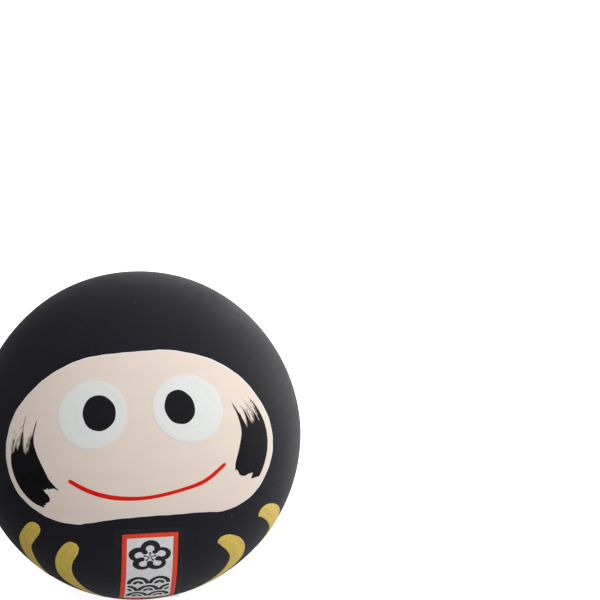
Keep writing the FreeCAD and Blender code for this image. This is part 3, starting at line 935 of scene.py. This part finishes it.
def arched(xy):
    """Takes points of the flat sticker to where they lie once it is pasted on."""
    x, y = xy[..., 0], xy[..., 1]
    level = y + STICKER_ARCH * (1 - (x / FRAME_HALF_WIDTH) ** 2)
    return np.stack([x * (1 - STICKER_SPREAD * y), level], axis=-1)


def rectangle(low, high):
    """Points round a rectangle, corners included, from its lower left corner."""
    (x0, y0), (x1, y1) = low, high
    across = np.linspace(0, 1, 2 + int((x1 - x0) / EDGE_STEP))
    upward = np.linspace(0, 1, 2 + int((y1 - y0) / EDGE_STEP))
    x = np.concatenate([x0 + (x1 - x0) * across[:-1], x1 + 0 * upward[:-1], x1 - (x1 - x0) * across[:-1],
                        x0 + 0 * upward[:-1]])
    y = np.concatenate([y0 + 0 * across[:-1], y0 + (y1 - y0) * upward[:-1], y1 + 0 * across[:-1],
                        y1 - (y1 - y0) * upward[:-1]])
    return np.stack([x, y], axis=-1)


def sheet_grid(low, high):
    """A rectangular grid with a close row of points inside each edge, and the distance to the edge."""
    axes = []
    for a, b in zip(low, high):
        inner = np.linspace(a + SHEET_BORDER, b - SHEET_BORDER, 2 + int((b - a) / SHEET_STEP))
        axes.append(np.r_[a, inner, b])
    y, x = np.meshgrid(axes[1], axes[0], indexing="ij")
    edge = np.minimum(
        np.minimum(x - low[0], high[0] - x), np.minimum(y - low[1], high[1] - y)
    )
    return np.stack([x, y], axis=-1), edge


xy, edge = sheet_grid((FILM_LEFT, FILM_LOW), (FILM_RIGHT, FILM_HIGH))
corner = np.array([FILM_RIGHT, FILM_LOW])
loose = CORNER_LIFT * np.exp(-((np.linalg.norm(xy - corner, axis=-1) / CORNER_REACH) ** 2))
loose = loose + FOOT_LIFT * np.exp(-(((xy[..., 1] - FILM_LOW) / FOOT_REACH) ** 2))
film_mesh = film("sticker_film", STICKER, arched(xy), FILM_THICK * edge_round(edge, FILM_EDGE) + loose)
new_piece("sticker_film", film_mesh, "clear_film", CLEAR_FILM, "sticker_film")

frame_outer = np.array([FRAME_HALF_WIDTH, FRAME_HALF_HEIGHT])
panel_half = frame_outer - FRAME_BORDER
ring = rectangle(-frame_outer, frame_outer)
share = np.array(FRAME_SHARES)
towards_panel = ring * (panel_half / frame_outer)
xy = ring[None] + (towards_panel - ring)[None] * share[:, None, None]
from_edge = np.minimum(share, 1 - share) * FRAME_BORDER
height = PRINT_THICK * edge_round(from_edge, PRINT_EDGE)[:, None] + 0 * xy[..., 0]
frame_mesh = film("sticker_frame", STICKER, arched(xy), height, FILM_THICK + PRINT_GAP, wrap=True)
new_piece("sticker_frame", frame_mesh, "sticker_ink", PRINT_RED, "sticker_print")

xy, edge = sheet_grid(tuple(-panel_half - PANEL_UNDER), tuple(panel_half + PANEL_UNDER))
panel_mesh = film("sticker_panel", STICKER, arched(xy), 0 * edge + PANEL_THICK, FILM_THICK)
new_piece("sticker_panel", panel_mesh, "sticker_ink", PRINT_PANEL)

# the ornaments in place of lettering: a plum blossom over three rows of waves

INK_LIFT = FILM_THICK + PRINT_GAP
INK_THICK = 0.02 * MM
BLOSSOM = np.array([0.0, 8.6])
PETALS = 5
PETAL_OUT = 3.05            # from the blossom's middle to a petal's
PETAL_RADIUS = 1.8
PETAL_SWEEP = (-160, 152)   # a petal is a ring left open at its foot, in degrees from its tip
PETAL_WEIGHT = 1.35
PETAL_SWELL = 0.3           # how much heavier or lighter than that its line gets on the way round
STAMEN = (
    # out from the blossom's middle, and width
    (0.2, 0.42), (1.0, 0.34), (1.75, 0.8),
)
WAVE_HALF = 2.75
WAVE_STRETCH = 1.45         # a wave's arcs are this many times as high as half their width
WAVE_ARCS = (
    # radius and weight of a wave's two arcs
    (2.45, 1.15), (1.0, 1.0),
)
WAVE_ROWS = (
    # height of the row's foot, and its waves: middle, and the arc's two ends in degrees
    (-3.9, ((-WAVE_HALF, 4, 176), (WAVE_HALF, 4, 176))),
    (-8.6, ((-2 * WAVE_HALF, 4, 88), (0.0, 4, 176), (2 * WAVE_HALF, 92, 176))),
    (-13.3, ((-WAVE_HALF, 4, 176), (WAVE_HALF, 4, 176))),
)
ink_meshes = []


def ink_line(points, count, start, end):
    """An ink stroke through points given as across, up and width, with a round cap at each end."""
    line = smooth_line(points, count)
    width = line[:, 2] * round_ends(line[:, :2], start, end)
    ink_meshes.append(stroke_mesh("ink", STICKER, arched(line), width, INK_THICK, INK_LIFT, columns=7))


for petal in range(PETALS):
    tip = math.radians(90 + 360 / PETALS * petal)
    outward = np.array([math.cos(tip), math.sin(tip)])
    middle = BLOSSOM + PETAL_OUT * outward
    sweep = tip + np.radians(np.linspace(*PETAL_SWEEP, 9))
    heavy = PETAL_WEIGHT + PETAL_SWELL * np.cos(np.linspace(-2.2, 2.6, 9) + 0.4 * petal)
    x = middle[0] + PETAL_RADIUS * np.cos(sweep)
    y = middle[1] + PETAL_RADIUS * np.sin(sweep)
    ink_line(np.stack([x, y, heavy], axis=-1), 48, 0.4, 0.4)
    ink_line([(*(BLOSSOM + out * outward), width) for out, width in STAMEN], 16, 0.2, 0.3)
for foot, waves in WAVE_ROWS:
    for middle, first, last in waves:
        for radius, heavy in WAVE_ARCS:
            sweep = np.radians(np.linspace(first, last, 7))
            x = middle + radius * np.cos(sweep)
            y = foot + WAVE_STRETCH * radius * np.sin(sweep)
            wide = heavy * (0.85 + 0.25 * np.sin(sweep))
            ink_line(np.stack([x, y, wide], axis=-1), 36, 0.3, 0.3)
new_piece("sticker_ornament", join_meshes("sticker_ornament", ink_meshes), "sticker_ink", PRINT_INK)


# ---------------------------------------------------------------- stage, light and camera

FLOOR_HALF = 3.0

floor_mesh = bpy.data.meshes.new("floor")
floor_mesh.from_pydata(
    [(-FLOOR_HALF, -FLOOR_HALF, 0), (FLOOR_HALF, -FLOOR_HALF, 0), (FLOOR_HALF, FLOOR_HALF, 0),
     (-FLOOR_HALF, FLOOR_HALF, 0)],
    [], [(0, 1, 2, 3)],
)
floor = bpy.data.objects.new("floor", floor_mesh)
bpy.context.scene.collection.objects.link(floor)
paper = Shader("studio_paper", (0.80, 0.80, 0.80), 0.9, 0.1)
paper.set(paper.surface, {"Emission Color": (1.0, 1.0, 1.0, 1.0), "Emission Strength": 0.85})
floor.data.materials.append(paper.material)
floor.visible_diffuse = False
floor.visible_glossy = False

# the studio's light: wide soft boxes all round, and plain white wherever the camera looks past the doll

SOFT_BOXES = (
    # azimuth, height above level, strength
    (0, 10, 1.0),
    (45, 10, 0.3),
    (90, 10, 1.5),
    (135, 10, 1.7),
    (180, 10, 0.2),
    (-90, 10, 0.3),
    (-72, 55, 0.4),
    (72, 55, 0.8),
    (0, 90, 1.0),
    (0, -50, 0.8),
    (90, -50, 0.4),
    (180, -50, 0.2),
)
SOFT_BOX_FADE = 4.0         # the light falls off with this power of the cosine from a box's middle
WHITE_BEHIND = 1.02

world = bpy.data.worlds.new("studio")
bpy.context.scene.world = world
world.use_nodes = True
tree = world.node_tree


def world_node(kind, inputs, **settings):
    """Adds a node to the world, and gives its outputs."""
    node = tree.nodes.new(kind)
    for key, value in settings.items():
        setattr(node, key, value)
    for socket, value in inputs.items():
        if isinstance(value, bpy.types.NodeSocket):
            tree.links.new(value, node.inputs[socket])
        else:
            node.inputs[socket].default_value = value
    return node.outputs


towards = world_node("ShaderNodeTexCoord", {})["Generated"]
strength = 0.0
for azimuth, height, power in SOFT_BOXES:
    facing = world_node(
        "ShaderNodeVectorMath", {0: towards, 1: Place(azimuth, height).outward}, operation="DOT_PRODUCT"
    )["Value"]
    lit_side = world_node("ShaderNodeMath", {0: facing, 1: 0.0}, operation="MAXIMUM")[0]
    faded = world_node("ShaderNodeMath", {0: lit_side, 1: SOFT_BOX_FADE}, operation="POWER")[0]
    strength = world_node(
        "ShaderNodeMath", {0: faded, 1: power, 2: strength}, operation="MULTIPLY_ADD"
    )[0]
lit = tree.nodes["Background"]
lit.inputs["Color"].default_value = (1, 1, 1, 1)
tree.links.new(strength, lit.inputs["Strength"])
seen = world_node("ShaderNodeBackground", {"Color": (1, 1, 1, 1), "Strength": WHITE_BEHIND})["Background"]
camera_ray = world_node("ShaderNodeLightPath", {})["Is Camera Ray"]
either = world_node(
    "ShaderNodeMixShader", {0: camera_ray, 1: lit.outputs["Background"], 2: seen}
)["Shader"]
tree.links.new(either, tree.nodes["World Output"].inputs["Surface"])
bpy.context.scene.view_settings.view_transform = "Standard"

LENS = 85.0
SENSOR_WIDTH = 36.0
CAMERA_DISTANCE = 8.816 * BALL_RADIUS
CAMERA_VIEW = Place(-1.1, 22.0)     # where the camera stands, seen from the ball
CAMERA_ROLL = math.radians(4.0)
CAMERA_PAN = math.radians(6.48)     # the camera looks this far to the right of the ball's centre
CAMERA_TILT = math.radians(5.40)    # and this far above it

camera = bpy.data.objects.new("camera", bpy.data.cameras.new("camera"))
bpy.context.scene.collection.objects.link(camera)
camera.data.lens = LENS
camera.data.sensor_width = SENSOR_WIDTH
camera.data.clip_start = 0.01
facing = Matrix(
    np.stack([CAMERA_VIEW.right, CAMERA_VIEW.up, CAMERA_VIEW.outward], axis=-1).tolist()
) @ Matrix.Rotation(-CAMERA_ROLL, 3, "Z")
to_ball = Vector((-math.tan(CAMERA_PAN), -math.tan(CAMERA_TILT), -1.0))
turned_off = to_ball.rotation_difference(Vector((0, 0, -1))).to_matrix()
camera_place = Vector(BALL_CENTRE + CAMERA_VIEW.outward * CAMERA_DISTANCE)
camera.matrix_world = Matrix.Translation(camera_place) @ (facing @ turned_off).to_4x4()
bpy.context.scene.camera = camera
